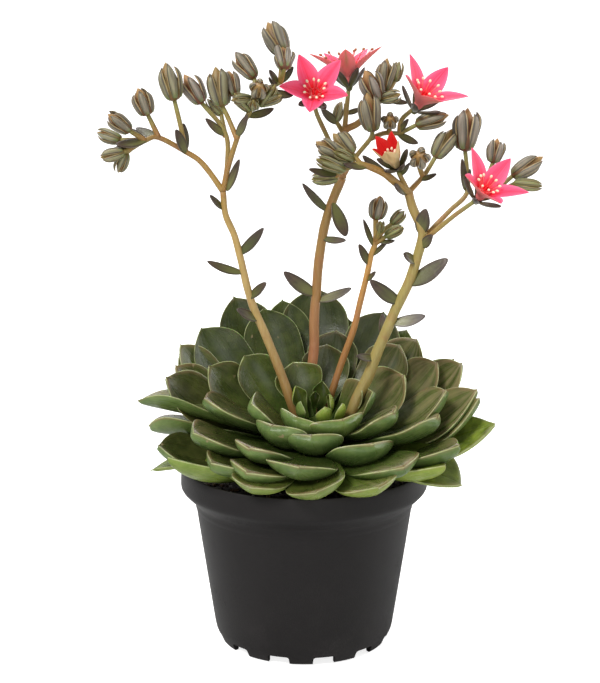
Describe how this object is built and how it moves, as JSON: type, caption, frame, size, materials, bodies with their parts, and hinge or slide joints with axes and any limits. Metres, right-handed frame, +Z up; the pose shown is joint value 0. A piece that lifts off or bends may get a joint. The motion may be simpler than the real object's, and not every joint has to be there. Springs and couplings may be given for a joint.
{
  "type": "potted graptopetalum",
  "caption": "Potted succulent for a table or windowsill: a thick-leaved rosette in a plastic nursery pot, with tall flower stalks that carry ribbed buds and star-shaped pink flowers.",
  "frame": {"origin": "middle of the whole plant's bounding box, on the surface that the pot stands on", "axes": "+Z up, +X to the right as the plant is seen from its front, +Y away from the viewer"},
  "size_m": [0.208, 0.1466, 0.3],
  "materials": {
    "black_plastic": "matte",
    "potting_mix": "matte",
    "leaf_green": "satin",
    "stalk_ochre": "satin",
    "petal_pink": "matte",
    "petal_red": "matte"
  },
  "bodies": {
    "root": {"pot": "black_plastic", "soil": "potting_mix", "rosette": "leaf_green", "stalk_left": "stalk_ochre", "stalk_middle": "stalk_ochre", "stalk_small": "stalk_ochre", "stalk_right": "stalk_ochre", "flower_a": "petal_pink", "flower_b": "petal_pink", "flower_c": "petal_pink", "flower_d": "petal_red", "flower_e": "petal_pink"}
  },
  "joints": []
}
